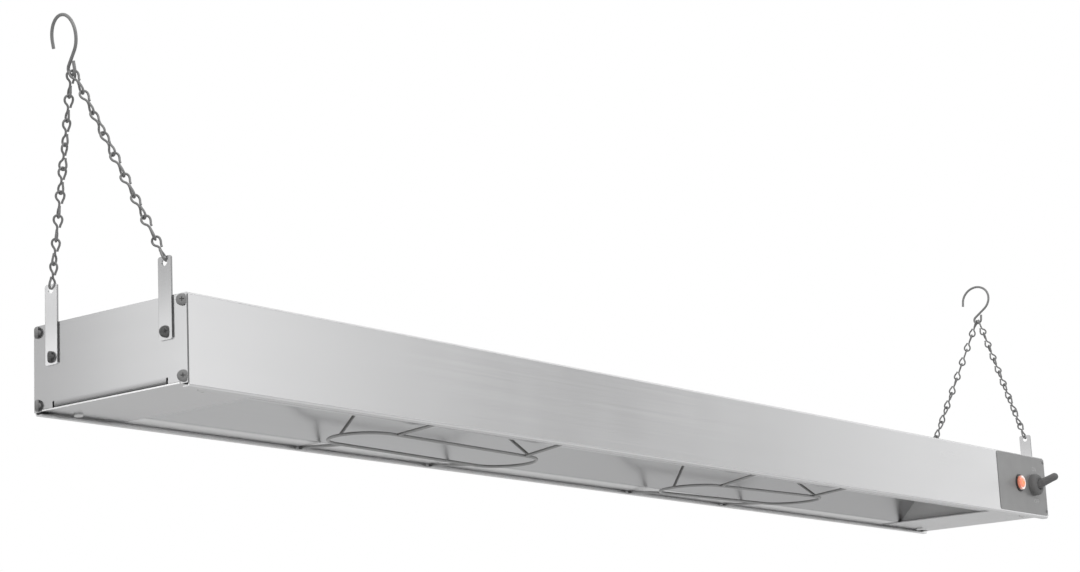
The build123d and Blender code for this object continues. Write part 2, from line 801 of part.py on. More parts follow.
def make_switch_body():
    width, depth, height = switch_body_size
    x = (switch_x - width / 2, switch_x + width / 2)
    z = (control_z - height / 2, control_z + height / 2)
    body = block(x, (switch_body_front, switch_body_front + depth), z)
    back = switch_body_front + depth
    for rise in (-switch_blade_rise, switch_blade_rise):
        size = spade_size
        body += Pos(switch_x, back + size[2] / 2, control_z + rise) * Box(size[1], size[2], size[0])
    return body


def make_switch_thread():
    tube = front_disc(switch_x, switch_body_front, front - thread_out, thread_radius)
    return tube - front_disc(switch_x, switch_body_front + 1, front - thread_out - 1, thread_bore)


def make_switch_nut():
    nut = hexagon_nut(switch_nut_width, switch_nut_height, thread_radius + 0.05)
    return Pos(switch_x, front + housing_sheet, control_z) * Rot(-90, 0, 0) * nut


def make_boot():
    """A round rubber collar that screws over the thread, with a mouth for the lever."""
    collar = front_disc(switch_x, panel_face, panel_face - boot_height, boot_radius)
    collar = fillet(collar.edges().filter_by(GeomType.CIRCLE).sort_by(Axis.Y)[0], boot_edge_radius)
    collar -= front_disc(switch_x, panel_face + 1, front - thread_out - 0.1, thread_radius + 0.05)
    return collar - front_disc(switch_x, front, panel_face - boot_height - 1, boot_mouth_radius)


def lever_frame():
    """Places a lever drawn along +Z at the pivot, pointing out of the front and up."""
    return Pos(*lever_pivot) * Rot(90 - lever_lift, 0, 0)


def make_lever_cover():
    tip = lever_reach - lever_tip_radius
    stem = Cone(lever_root_radius, lever_tip_radius, tip, align=(Align.CENTER, Align.CENTER, Align.MIN))
    cover = Sphere(lever_ball_radius) + stem + Pos(0, 0, tip) * Sphere(lever_tip_radius)
    bore = Cylinder(
        lever_core_radius + lever_core_gap, 2 * tip, align=(Align.CENTER, Align.CENTER, Align.CENTER)
    )
    return lever_frame() * (cover - bore)


def make_lever_core():
    length = lever_reach - lever_tip_radius - lever_core_gap + lever_tail
    core = Cylinder(lever_core_radius, length, align=(Align.CENTER, Align.CENTER, Align.MIN))
    return lever_frame() * Pos(0, 0, -lever_tail) * core


block_x = half_length - block_from_end
block_top = ceiling
block_bottom = ceiling - block_size[2]
block_front = block_back - block_size[1]
pole_pitch = block_size[0] / block_poles


def pole_x(number):
    return block_x + (number - (block_poles - 1) / 2) * pole_pitch


def make_terminal_block():
    x = (block_x - block_size[0] / 2, block_x + block_size[0] / 2)
    body = block(x, (block_front, block_back), (block_bottom, block_top))
    for number in range(block_poles):
        at = (pole_x(number), block_bottom + block_size[2] / 2)
        body -= rod((at[0], block_front - 1, at[1]), (at[0], block_front + 5, at[1]), wire_radius + wire_gap)
        for y in (block_front + 4, block_back - 4):
            start = (at[0], y, block_bottom - 1)
            body -= rod(start, (at[0], y, block_bottom + block_screw_height), block_screw_radius + screw_hole_gap)
    return body


def block_screws():
    for number in range(block_poles):
        for y in (block_front + 4, block_back - 4):
            low = (pole_x(number), y, block_bottom + 0.4)
            screw = rod(low, (low[0], y, block_bottom + block_screw_height), block_screw_radius)
            yield screw - Pos(*low) * Box(2 * block_screw_radius, 0.6, 1.2)


def stud_place():
    return half_length - stud_from_end, bottom + stud_height


def make_earth_stud():
    x, z = stud_place()
    return rod((x, inner_half_width, z), (x, inner_half_width - stud_length, z), stud_radius)


def make_earth_nut():
    x, z = stud_place()
    nut = hexagon_nut(nut_width, nut_height, stud_radius + pin_gap)
    return Pos(x, inner_half_width - stud_length + nut_height + 1, z) * Rot(90, 0, 0) * nut


def make_inlet():
    """A snap-in bushing for the supply cord, through the back wall."""
    x = half_length - inlet_from_end
    z = bottom + inlet_height
    flange = rod((x, half_width, z), (x, half_width + inlet_flange, z), inlet_flange_radius)
    flange = fillet(flange.edges().filter_by(GeomType.CIRCLE).sort_by(Axis.Y)[-1], 1.2)
    sleeve = rod((x, half_width, z), (x, half_width - inlet_inside, z), inlet_radius)
    bore = rod((x, half_width - inlet_inside - 1, z), (x, half_width + inlet_flange + 1, z), inlet_bore_radius)
    return flange + sleeve - bore


def make_wire(points):
    """A lead along straight runs joined by arcs."""
    path = FilletPolyline(*points, radius=wire_bend)
    return sweep(Plane(origin=path @ 0, z_dir=path % 0) * Circle(wire_radius), path=path)


def pin_wire_x(end):
    """Where a lead meets its pin, in the gap between the two nuts."""
    return pin_nut_start(end, 0) + end * (nut_height + wire_radius + wire_gap)


def block_entry(number):
    return pole_x(number), block_front + wire_entry_depth, block_bottom + block_size[2] / 2


def make_return_lead():
    """From the left-hand pin over the insulation to the terminal block."""
    high = ceiling - insulation_top_gap + wire_gap + wire_radius
    entry = block_entry(0)
    left = pin_wire_x(-1)
    side = pin_radius + wire_gap
    return make_wire([
        (left, 0, element_z + side),
        (left, 0, high),
        (entry[0] - return_lead_drop_from_block, 0, high),
        (entry[0], wire_bend, entry[2]),
        entry,
    ])


def make_element_lead():
    """From the lower blade of the switch to the right-hand pin."""
    back = switch_body_front + switch_body_size[1] + spade_size[2]
    right = pin_wire_x(1)
    height = control_z - switch_blade_rise
    return make_wire([
        (switch_x, back + wire_gap, height),
        (switch_x, back + wire_straight, height),
        (right, back + element_lead_reach, element_z),
        (right, -pin_radius - wire_gap, element_z),
    ])


def make_switch_lead():
    """From the terminal block to the upper blade of the switch."""
    back = switch_body_front + switch_body_size[1] + spade_size[2]
    height = control_z + switch_blade_rise
    entry = block_entry(1)
    return make_wire([
        (switch_x, back + wire_gap, height),
        (switch_x, back + wire_gap + wire_straight, height),
        (entry[0], block_front - switch_lead_rise_from_block, entry[2]),
        entry,
    ])


def lamp_leads():
    """Two short leads from the pilot light past the side of the terminal block."""
    back = panel_face + indicator_body_length + spade_size[2]
    for number, rise in enumerate((indicator_blade_rise, -indicator_blade_rise)):
        start = (indicator_x, back + wire_gap, control_z + rise)
        down = number * lamp_lead_spacing
        x = block_x - block_size[0] / 2 - lamp_lead_from_block - down
        y = block_front - lamp_lead_before_block
        z = block_bottom + indicator_blade_rise - down
        yield make_wire([
            start,
            (start[0], start[1] + wire_straight, start[2]),
            (x, y, z),
            (x, y + lamp_lead_tail, z),
        ])


def make_earth_lead():
    x, z = stud_place()
    nut_face = inner_half_width - stud_length + 1
    entry = block_entry(block_poles - 1)
    side = x - stud_radius - wire_gap - wire_radius
    y = nut_face + nut_height + wire_radius + wire_gap
    return make_wire([
        (side, y, z),
        (side, y, z - earth_lead_drop),
        (side, block_front - earth_lead_from_block, z - earth_lead_from_block),
        (entry[0], block_front - earth_lead_from_block, entry[2]),
        entry,
    ])


save("housing_channel", make_housing())
save("end_plate_left", make_end_plate(-1))
save("end_plate_right", make_end_plate(1))
save("end_plate_screws", *corner_screws())
for end_name, end in (("left", -1), ("right", 1)):
    for side_name, side in (("near", -1), ("far", 1)):
        save(f"hanger_strap_{end_name}_{side_name}", make_strap(end, side))
save("strap_screws", *strap_screws())
save("bottom_cover_left", make_cover(-1))
save("bottom_cover_right", make_cover(1))
save("cover_screws", *cover_screws())
save("reflector", make_reflector())
save("bulkhead_left", make_bulkhead(-1))
save("bulkhead_right", make_bulkhead(1))
save("insulation_blanket", make_insulation())
save("heating_element", make_element())
save("terminal_pins", *terminal_pins())
save("terminal_nuts", *terminal_nuts())
save("element_bushing_left", make_bushing(-1))
save("element_bushing_right", make_bushing(1))
for clip_name, place in zip(("left", "middle", "right"), clip_places):
    save(f"element_clip_{clip_name}", make_element_clip(place))
save("wire_guard_left", make_guard(guard_left_centre, guard_left_drop))
save("wire_guard_right", make_guard(guard_right_centre, guard_right_drop))
save("chain_left_near", *make_strand(-1, -1, left_hook_turn, left_near_twists))
save("chain_left_far", *make_strand(-1, 1, left_hook_turn, left_far_twists))
save("chain_right_near", *make_strand(1, -1, right_hook_turn, right_near_twists))
save("chain_right_far", *make_strand(1, 1, right_hook_turn, right_far_twists))
save("hook_left", make_hook(-1, left_hook_turn))
save("hook_right", make_hook(1, right_hook_turn))
save("control_label", make_label())
save("indicator_body", make_indicator_body())
save("indicator_lens", make_indicator_lens())
save("indicator_bezel", make_indicator_bezel())
save("switch_body", make_switch_body())
save("switch_thread", make_switch_thread())
save("switch_nut", make_switch_nut())
save("switch_boot", make_boot())
save("lever_cover", make_lever_cover())
save("lever_core", make_lever_core())
save("terminal_block", make_terminal_block())
save("terminal_block_screws", *block_screws())
save("earth_stud", make_earth_stud())
save("earth_nut", make_earth_nut())
save("cord_inlet_bushing", make_inlet())
save("return_lead", make_return_lead())
save("element_lead", make_element_lead())
save("switch_lead", make_switch_lead())
save("lamp_leads", *lamp_leads())
save("earth_lead", make_earth_lead())
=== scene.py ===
"""Finishes, fasteners, controls and stage for a ceiling-hung strip heat lamp."""

import json
from math import cos, pi, radians, sin

import bmesh
import bpy
from bpy.props import FloatProperty, FloatVectorProperty, IntProperty, PointerProperty
from bpy.types import Operator, Panel, PropertyGroup
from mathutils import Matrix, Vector


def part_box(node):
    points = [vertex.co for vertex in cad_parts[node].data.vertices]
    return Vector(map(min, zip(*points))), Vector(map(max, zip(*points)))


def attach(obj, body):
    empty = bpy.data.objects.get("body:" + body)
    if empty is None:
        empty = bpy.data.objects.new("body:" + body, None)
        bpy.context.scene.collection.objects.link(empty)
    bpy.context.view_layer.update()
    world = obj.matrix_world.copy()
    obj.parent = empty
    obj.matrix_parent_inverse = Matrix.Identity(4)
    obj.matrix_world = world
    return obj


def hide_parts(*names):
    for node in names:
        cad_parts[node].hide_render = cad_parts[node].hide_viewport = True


bl_info = {
    "name": "Strip heat lamp",
    "version": (1, 0, 0),
    "blender": (4, 5, 0),
    "location": "3D View > Sidebar > Heat lamp",
    "description": "Finishes, fasteners, controls and stage for a strip heat lamp",
    "category": "Object",
}

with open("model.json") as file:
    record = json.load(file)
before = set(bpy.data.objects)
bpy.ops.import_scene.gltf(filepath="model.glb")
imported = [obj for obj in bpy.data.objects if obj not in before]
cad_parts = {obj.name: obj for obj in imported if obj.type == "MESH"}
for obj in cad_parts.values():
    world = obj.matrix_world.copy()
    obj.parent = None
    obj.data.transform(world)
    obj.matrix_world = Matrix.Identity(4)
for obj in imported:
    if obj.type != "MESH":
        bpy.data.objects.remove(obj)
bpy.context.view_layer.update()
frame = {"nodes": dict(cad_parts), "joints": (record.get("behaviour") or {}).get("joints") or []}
nodes = frame["nodes"]
joints = {joint["name"]: joint for joint in frame["joints"]}


# Nodes for materials


class Value:
    """One output in a node tree. Arithmetic on it adds Math nodes."""

    def __init__(self, tree, socket):
        self.tree = tree
        self.socket = socket

    def __add__(self, other):
        return self.tree.maths("ADD", self, other)

    def __radd__(self, other):
        return self.tree.maths("ADD", other, self)

    def __sub__(self, other):
        return self.tree.maths("SUBTRACT", self, other)

    def __rsub__(self, other):
        return self.tree.maths("SUBTRACT", other, self)

    def __mul__(self, other):
        return self.tree.maths("MULTIPLY", self, other)

    def __rmul__(self, other):
        return self.tree.maths("MULTIPLY", other, self)

    def __truediv__(self, other):
        return self.tree.maths("DIVIDE", self, other)

    def __pow__(self, other):
        return self.tree.maths("POWER", self, other)

    def __abs__(self):
        return self.tree.maths("ABSOLUTE", self)


class Tree:
    """The nodes of a material or of the world."""

    def __init__(self, owner):
        owner.use_nodes = True
        self.nodes = owner.node_tree.nodes
        self.links = owner.node_tree.links

    def join(self, target, value):
        """Links a value to a socket, or sets what the socket itself says."""
        if isinstance(value, Value):
            self.links.new(value.socket, target)
        elif isinstance(value, (tuple, list)) and len(value) == 3 and len(target.default_value) == 4:
            target.default_value = (*value, 1)
        else:
            target.default_value = value

    def add(self, kind, settings, sockets, output=0):
        """Adds a node with its settings and what goes into its sockets, by name or by number."""
        node = self.nodes.new(kind)
        for name, value in settings.items():
            setattr(node, name, value)
        for name, value in sockets.items():
            self.join(node.inputs[name], value)
        return Value(self, node.outputs[output])

    def maths(self, operation, *values):
        return self.add("ShaderNodeMath", {"operation": operation}, dict(enumerate(values)))

    def clamp(self, value, low=0.0, high=1.0):
        return self.add("ShaderNodeClamp", {}, {"Value": value, "Min": low, "Max": high})

    def step(self, value, start, end):
        """Rises smoothly from 0 to 1 as the value goes from start to end."""
        sockets = {"Value": value, "From Min": start, "From Max": end}
        return self.add("ShaderNodeMapRange", {"interpolation_type": "SMOOTHSTEP"}, sockets)

    def mix(self, factor, first, second):
        return self.add("ShaderNodeMix", {"data_type": "RGBA"}, {0: factor, 6: first, 7: second}, 2)

    def place(self):
        """Where a point of the piece is, in metres."""
        return self.add("ShaderNodeTexCoord", {}, {}, "Object")

    def moved(self, vector, location=(0, 0, 0), scale=(1, 1, 1)):
        sockets = {"Vector": vector, "Location": location, "Scale": scale}
        return self.add("ShaderNodeMapping", {}, sockets)

    def parts(self, vector):
        """The X, Y and Z of a vector."""
        node = self.nodes.new("ShaderNodeSeparateXYZ")
        self.join(node.inputs[0], vector)
        return [Value(self, output) for output in node.outputs]

    def noise(self, vector, scale, detail=2.0, roughness=0.5):
        sockets = {"Vector": vector, "Scale": scale, "Detail": detail, "Roughness": roughness}
        return self.add("ShaderNodeTexNoise", {}, sockets, "Fac")

    def bump(self, height, strength, distance):
        sockets = {"Height": height, "Strength": strength, "Distance": distance}
        return self.add("ShaderNodeBump", {}, sockets)


class Finish(Tree):
    """A material with one Principled shader."""

    def __init__(self, name, **constants):
        self.material = bpy.data.materials.new(name)
        super().__init__(self.material)
        self.shader = self.nodes["Principled BSDF"]
        for socket, value in constants.items():
            self.set(**{socket: value})

    def set(self, **sockets):
        for name, value in sockets.items():
            self.join(self.shader.inputs[name.replace("_", " ")], value)

    def on(self, *names):
        """Puts the finish on CAD nodes, or on pieces given by name."""
        for name in names:
            piece = nodes.get(name) or bpy.data.objects[name]
            piece.data.materials.clear()
            piece.data.materials.append(self.material)


def shade(colour, factor):
    """A darker or lighter form of a colour."""
    return tuple(part * factor for part in colour)


def brushed_metal(name, colour, roughness, grain, strength, marks):
    """Sheet with fine brush lines. The grain is how tightly the lines repeat along X, Y and Z.

    The marks are a function of the finish and X, Y and Z that gives masks of painted light and shade, each
    with the colour and the Metallic that it brings.
    """
    finish = Finish(name, Metallic=1.0)
    place = finish.place()
    lines = finish.noise(finish.moved(place, scale=grain), 1.0, 3.0, 0.6)
    bands = finish.noise(finish.moved(place, scale=[part * 0.12 for part in grain]), 1.0, 2.0)
    clouds = finish.noise(place, 7.0, 3.0, 0.55)
    tone = finish.clamp(0.5 + (lines - 0.5) * 0.9 * strength + (bands - 0.5) * 0.8 * strength)
    base = finish.mix(tone, shade(colour, 0.95), shade(colour, 1.05))
    metal = 1.0
    for mask, over, metallic in marks(finish, *finish.parts(place)):
        base = finish.mix(mask, base, over)
        metal = metal + mask * (metallic - metal)
    finish.set(
        Metallic=metal,
        Base_Color=base,
        Roughness=roughness + (lines - 0.5) * 0.12 * strength + (clouds - 0.5) * 0.1,
        Normal=finish.bump(lines * 0.7 + bands * 0.3, 0.12 * strength, 0.0001),
    )
    return finish


def plated_metal(name, colour, roughness, metallic=1.0):
    """Plated or plain metal parts: faint crystals, a little cloudiness and small marks."""
    finish = Finish(name, Metallic=metallic)
    place = finish.place()
    crystals = finish.add("ShaderNodeTexVoronoi", {}, {"Vector": place, "Scale": 260.0}, "Distance")
    clouds = finish.noise(place, 45.0, 3.0, 0.6)
    marks = finish.step(finish.noise(place, 600.0, 2.0), 0.62, 0.75)
    finish.set(
        Base_Color=finish.mix(clouds, shade(colour, 0.86), shade(colour, 1.1)),
        Roughness=finish.clamp(roughness + (clouds - 0.5) * 0.18 + crystals * 0.08 + marks * 0.1),
        Normal=finish.bump(crystals + clouds * 0.5, 0.08, 0.0001),
    )
    return finish


def moulded(name, colour, roughness, grain=900.0, depth=0.00004, **constants):
    """Moulded plastic or rubber with a fine matte grain."""
    finish = Finish(name, **constants)
    place = finish.place()
    fine = finish.noise(place, grain, 2.0, 0.6)
    clouds = finish.noise(place, 60.0, 3.0)
    finish.set(
        Base_Color=finish.mix(clouds, shade(colour, 0.85), shade(colour, 1.15)),
        Roughness=finish.clamp(roughness + (fine - 0.5) * 0.16 + (clouds - 0.5) * 0.08),
        Normal=finish.bump(fine, 0.3, depth),
    )
    return finish


def braided(name, colour, thread):
    """A woven sleeve: two sets of fine threads that cross."""
    finish = Finish(name, Roughness=0.8)
    place = finish.place()
    fineness = 2200
    x, y, z = finish.parts(finish.moved(place, scale=(fineness, fineness, fineness)))
    over = finish.maths("SINE", x + y + z)
    under = finish.maths("SINE", x - y + z * 0.6)
    weave = finish.clamp(0.5 + over * under * 0.5)
    finish.set(
        Base_Color=finish.mix(weave, shade(colour, 0.7), thread),
        Normal=finish.bump(weave, 0.5, 0.0002),
    )
    return finish


# Modelling steps


def choose(*pieces):
    """Selects these pieces and nothing else. The first one is active."""
    bpy.ops.object.select_all(action="DESELECT")
    for piece in pieces:
        piece.select_set(True)
    bpy.context.view_layer.objects.active = pieces[0]


def added(name):
    """Gives the active piece and its mesh this name."""
    piece = bpy.context.active_object
    piece.name = piece.data.name = name
    return piece


def edit(piece):
    """Opens the piece in edit mode, with faces to be picked and none selected."""
    choose(piece)
    bpy.ops.object.mode_set(mode="EDIT")
    bpy.ops.mesh.select_mode(type="FACE")
    bpy.ops.mesh.select_all(action="DESELECT")


def pick(piece, test):
    """Selects the faces that the test says yes to, by centre and normal."""
    mesh = bmesh.from_edit_mesh(piece.data)
    for face in mesh.faces:
        face.select_set(test(face.calc_center_median(), face.normal))
    bmesh.update_edit_mesh(piece.data)


def close_edit():
    bpy.ops.object.mode_set(mode="OBJECT")


def modify(piece, kind, **settings):
    """Adds a modifier and applies it."""
    choose(piece)
    modifier = piece.modifiers.new(kind.title(), kind)
    for name, value in settings.items():
        setattr(modifier, name, value)
    bpy.ops.object.modifier_apply(modifier=modifier.name)


def settle(piece, location, rotation=(0, 0, 0)):
    """Puts the piece in its place and moves that place into its mesh."""
    piece.location = location
    piece.rotation_euler = rotation
    choose(piece)
    bpy.ops.object.transform_apply(location=True, rotation=True, scale=True)


def smooth(piece, angle):
    """Shades the piece smooth, apart from edges sharper than the angle in degrees."""
    choose(piece)
    bpy.ops.object.shade_smooth_by_angle(angle=radians(angle))


def turned(name, rings, sides):
    """A turned shape about Z, from rings of radius and height. Both ends are closed."""
    bpy.ops.object.select_all(action="DESELECT")
    radius, height = rings[0]
    bpy.ops.mesh.primitive_circle_add(vertices=sides, radius=radius, location=(0, 0, height))
    piece = added(name)
    settle(piece, (0, 0, height))
    bpy.ops.object.mode_set(mode="EDIT")
    bpy.ops.mesh.select_mode(type="VERT")
    bpy.ops.mesh.select_all(action="SELECT")
    bpy.ops.mesh.edge_face_add()
    bpy.ops.mesh.select_all(action="SELECT")
    for next_radius, next_height in rings[1:]:
        bpy.ops.mesh.extrude_region_move(TRANSFORM_OT_translate={"value": (0, 0, next_height - height)})
        scale = next_radius / radius
        bpy.ops.transform.resize(value=(scale, scale, 1), center_override=(0, 0, next_height))
        radius, height = next_radius, next_height
    bpy.ops.mesh.select_all(action="SELECT")
    bpy.ops.mesh.normals_make_consistent(inside=False)
    close_edit()
    return piece


def copies(source, name, places):
    """Copies of one piece, each with its own mesh, joined under one name."""
    made = []
    for location, rotation in places:
        choose(source)
        bpy.ops.object.duplicate()
        made.append(bpy.context.active_object)
        settle(made[-1], location, rotation)
    choose(*made)
    bpy.ops.object.join()
    return added(name)


def remove(*pieces):
    choose(*pieces)
    bpy.ops.object.delete()


def finished(piece, body, slot, *replaced):
    """The piece moves with a body and stands for CAD nodes. The slot is not used."""
    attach(piece, body)
    if replaced:
        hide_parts(*replaced)


# Sizes and colours


class LampStage(PropertyGroup):
    camera_place: FloatVectorProperty(
        name="Camera place", description="Where the camera stands", subtype="TRANSLATION", unit="LENGTH",
        default=(-1.734288, -1.202664, -0.353462),
    )
    camera_turn: FloatVectorProperty(
        name="Camera turn", description="Which way the camera looks", subtype="EULER",
        default=tuple(radians(turn) for turn in (102.37236, 2.692736, -52.468294)),
    )
    lens: FloatProperty(
        name="Lens", description="Focal length on a 36 mm sensor", default=83.588, unit="CAMERA"
    )
    floor_height: FloatProperty(
        name="Floor height", description="Height of the floor below the lamp", default=-2.6, unit="LENGTH"
    )
    floor_size: FloatProperty(
        name="Floor size", description="Length of the floor's sides", default=60.0, unit="LENGTH"
    )
    floor_colour: FloatVectorProperty(
        name="Floor colour", description="Colour of the plain floor", subtype="COLOR",
        default=(0.64, 0.64, 0.64),
    )
    sky_level: FloatProperty(name="Sky level", description="Brightness of the soft sky", default=0.62)
    sky_floor: FloatProperty(name="Sky floor", description="Darkest that the sky gets", default=0.05)
    sky_limit: FloatProperty(name="Sky limit", description="Brightest that the sky gets", default=1.5)
    white_axis: FloatVectorProperty(
        name="White axis", description="Direction in which the sky is white", subtype="XYZ",
        default=(0.78, 0.587, 0.214),
    )
    strip_bearing: FloatProperty(
        name="Dark strip", description="Bearing of the dark strip that the front reflects", default=0.628,
        subtype="ANGLE",
    )
    left_bearing: FloatProperty(
        name="Left panel", description="Bearing where the panel that the left end reflects starts",
        default=2.325, subtype="ANGLE",
    )
    key_place: FloatVectorProperty(
        name="Key light place", description="Where the large soft light hangs", subtype="TRANSLATION",
        unit="LENGTH", default=(-1.6, -1.6, 1.4),
    )
    key_size: FloatVectorProperty(
        name="Key light size", description="Width and height of the large soft light", size=2,
        unit="LENGTH", default=(1.4, 1.0),
    )
    key_power: FloatProperty(
        name="Key light power", description="Power of the large soft light", default=22.0, unit="POWER"
    )


class LampFinish(PropertyGroup):
    steel: FloatVectorProperty(
        name="Stainless", description="Colour of the brushed sheet", subtype="COLOR",
        default=(0.66, 0.66, 0.665),
    )
    steel_roughness: FloatProperty(
        name="Stainless roughness", description="How dull the brushed sheet is", default=0.25,
        subtype="FACTOR",
    )
    reflector: FloatVectorProperty(
        name="Reflector", description="Colour of the reflector", subtype="COLOR",
        default=(0.69, 0.693, 0.697),
    )
    wire: FloatVectorProperty(
        name="Plated wire", description="Colour of chains, hooks and guards", subtype="COLOR",
        default=(0.42, 0.42, 0.42),
    )
    screws: FloatVectorProperty(
        name="Screws", description="Colour of the end screws", subtype="COLOR",
        default=(0.27, 0.27, 0.27),
    )
    bright_screws: FloatVectorProperty(
        name="Cover screws", description="Colour of the covers' screws", subtype="COLOR",
        default=(0.7, 0.7, 0.7),
    )
    rubber: FloatVectorProperty(
        name="Rubber", description="Colour of the switch's rubber", subtype="COLOR",
        default=(0.19, 0.19, 0.19),
    )
    label: FloatVectorProperty(
        name="Label", description="Colour of the control label", subtype="COLOR",
        default=(0.275, 0.275, 0.275),
    )
    ink: FloatVectorProperty(
        name="Ink", description="Colour of the printed marks", subtype="COLOR",
        default=(0.5, 0.5, 0.5),
    )
    glow: FloatVectorProperty(
        name="Glow", description="Colour of the lit pilot light", subtype="COLOR",
        default=(1.0, 0.24, 0.14),
    )


class LampFasteners(PropertyGroup):
    head_radius: FloatProperty(
        name="Head radius", description="Radius of the large screw heads", default=0.004, unit="LENGTH"
    )
    head_height: FloatProperty(
        name="Head height", description="Height of the large screw heads", default=0.0026, unit="LENGTH"
    )
    shank_radius: FloatProperty(
        name="Shank radius", description="Radius of the large screws' shanks", default=0.002, unit="LENGTH"
    )
    shank_length: FloatProperty(
        name="Shank length", description="Length of the large screws' shanks", default=0.0068,
        unit="LENGTH",
    )
    cover_head_radius: FloatProperty(
        name="Cover head radius", description="Radius of the cover screws' heads", default=0.0034,
        unit="LENGTH",
    )
    cover_head_height: FloatProperty(
        name="Cover head height", description="Height of the cover screws' heads", default=0.002,
        unit="LENGTH",
    )
    cover_shank_radius: FloatProperty(
        name="Cover shank radius", description="Radius of the cover screws' shanks", default=0.0015,
        unit="LENGTH",
    )
    cover_shank_length: FloatProperty(
        name="Cover shank length", description="Length of the cover screws' shanks", default=0.0058,
        unit="LENGTH",
    )
    recess: FloatProperty(
        name="Recess", description="Width of the cross recess as a share of the head's radius", default=0.2
    )


class LampBlanket(PropertyGroup):
    knee: FloatProperty(
        name="Knee", description="Half the width of the fold's mouth over the trough", default=0.033,
        unit="LENGTH",
    )
    crown: FloatProperty(
        name="Crown", description="Half the width of the fold's top over the trough", default=0.0165,
        unit="LENGTH",
    )
    rise: FloatProperty(
        name="Rise", description="How far the fold rises over the trough", default=0.0198,
        unit="LENGTH",
    )
    margin: FloatProperty(
        name="Margin", description="How much smaller than its space the blanket starts", default=0.001,
        unit="LENGTH",
    )
    edge_round: FloatProperty(
        name="Edge rounding", description="Width of the bevel on the blanket's edges", default=0.004,
        unit="LENGTH",
    )
    seams: IntProperty(name="Seams", description="How many sewn seams cross the blanket", default=13)


class LampControls(PropertyGroup):
    lever_lift: FloatProperty(
        name="Lever lift", description="How far the lever points up in ON", default=radians(18),
        subtype="ANGLE",
    )
    lever_reach: FloatProperty(
        name="Lever reach", description="From the pivot to the lever's tip", default=0.0224, unit="LENGTH"
    )
    lever_tip: FloatProperty(
        name="Lever tip", description="Radius of the lever's tip", default=0.0038, unit="LENGTH"
    )
    lever_ball: FloatProperty(
        name="Lever ball", description="Radius of the ball that the lever turns on", default=0.0046,
        unit="LENGTH",
    )
    lever_neck: FloatProperty(
        name="Lever neck", description="Radius of the lever between its ribs", default=0.004, unit="LENGTH"
    )
    lever_rib: FloatProperty(
        name="Lever rib", description="Radius of the lever's two ribs", default=0.00415, unit="LENGTH"
    )
    rib_pitch: FloatProperty(
        name="Rib pitch", description="From one rib to the next", default=0.0017, unit="LENGTH"
    )
    collar_mouth: FloatProperty(
        name="Collar mouth", description="Radius of the hole that the lever comes out of",
        default=0.0053, unit="LENGTH",
    )
    collar_bore: FloatProperty(
        name="Collar bore", description="Radius of the bore over the switch's thread", default=0.0061,
        unit="LENGTH",
    )
    collar_round: FloatProperty(
        name="Collar rounding", description="Radius of the collar's front edge", default=0.0036,
        unit="LENGTH",
    )
    lens_share: FloatProperty(
        name="Lens share", description="Radius of the pilot lens as a share of its solid's",
        default=0.93, subtype="FACTOR",
    )


class LampMarks(PropertyGroup):
    letter_size: FloatProperty(
        name="Letter size", description="Size of the words ON and OFF", default=0.006, unit="LENGTH"
    )
    offset: FloatProperty(
        name="Offset", description="How far the words are from the switch's centre", default=0.0163,
        unit="LENGTH",
    )
    aside: FloatProperty(
        name="Aside", description="How far the words stand to the right of the switch",
        default=0.0043, unit="LENGTH",
    )
    relief: FloatProperty(
        name="Relief", description="How far the letters stand out on each side", default=0.00003,
        unit="LENGTH",
    )


# One operator for each group of pieces


